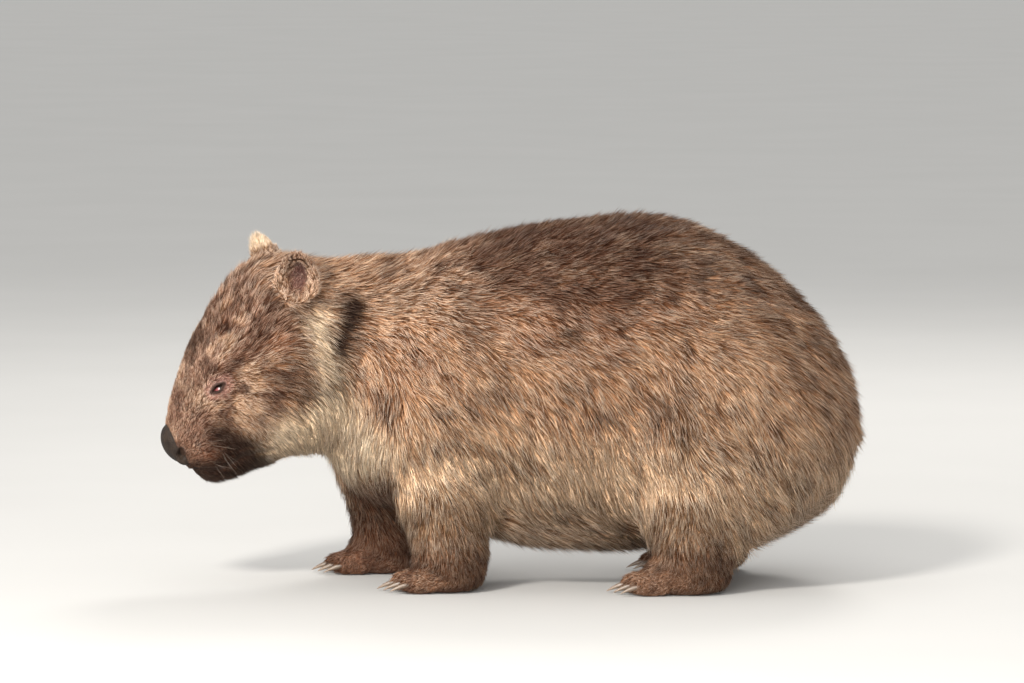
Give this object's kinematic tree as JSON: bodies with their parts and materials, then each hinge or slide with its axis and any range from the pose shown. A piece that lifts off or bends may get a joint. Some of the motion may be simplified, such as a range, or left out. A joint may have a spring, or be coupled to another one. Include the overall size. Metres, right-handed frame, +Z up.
{
  "type": "wombat",
  "caption": "Life-size common wombat standing with its head lowered, as a still model that rests on its four paws.",
  "frame": {"origin": "on the floor, under the middle of the animal's overall length and width", "axes": "+X towards the rump, so the nose points along -X; +Y to the animal's right; +Z up"},
  "size_m": [0.7242, 0.3, 0.3843],
  "materials": {
    "coat": "coarse grizzled brown fur, tan on the flank and dark on the back",
    "nose": "bare dark grey-brown skin, slightly moist",
    "eye": "wet dark brown eye",
    "claw": "dull dark horn, paler at the tips"
  },
  "bodies": {
    "root": {"foreleg_left": "coat", "forepaw_left": "coat", "claw_forepaw_left_1": "claw", "claw_forepaw_left_2": "claw", "claw_forepaw_left_3": "claw", "claw_forepaw_left_4": "claw", "claw_forepaw_left_5": "claw", "foreleg_right": "coat", "forepaw_right": "coat", "claw_forepaw_right_1": "claw", "claw_forepaw_right_2": "claw", "claw_forepaw_right_3": "claw", "claw_forepaw_right_4": "claw", "claw_forepaw_right_5": "claw", "hindleg_left": "coat", "hindpaw_left": "coat", "claw_hindpaw_left_1": "claw", "claw_hindpaw_left_2": "claw", "claw_hindpaw_left_3": "claw", "claw_hindpaw_left_4": "claw", "hindleg_right": "coat", "hindpaw_right": "coat", "claw_hindpaw_right_2": "claw", "claw_hindpaw_right_3": "claw", "claw_hindpaw_right_4": "claw", "claw_hindpaw_right_5": "claw", "tail": "coat", "torso": "coat", "neck": "coat", "lower_jaw": "coat", "nose": "nose", "eye_left": "eye", "eye_right": "eye", "ear_left": "coat", "ear_right": "coat", "head": "coat"}
  },
  "joints": []
}
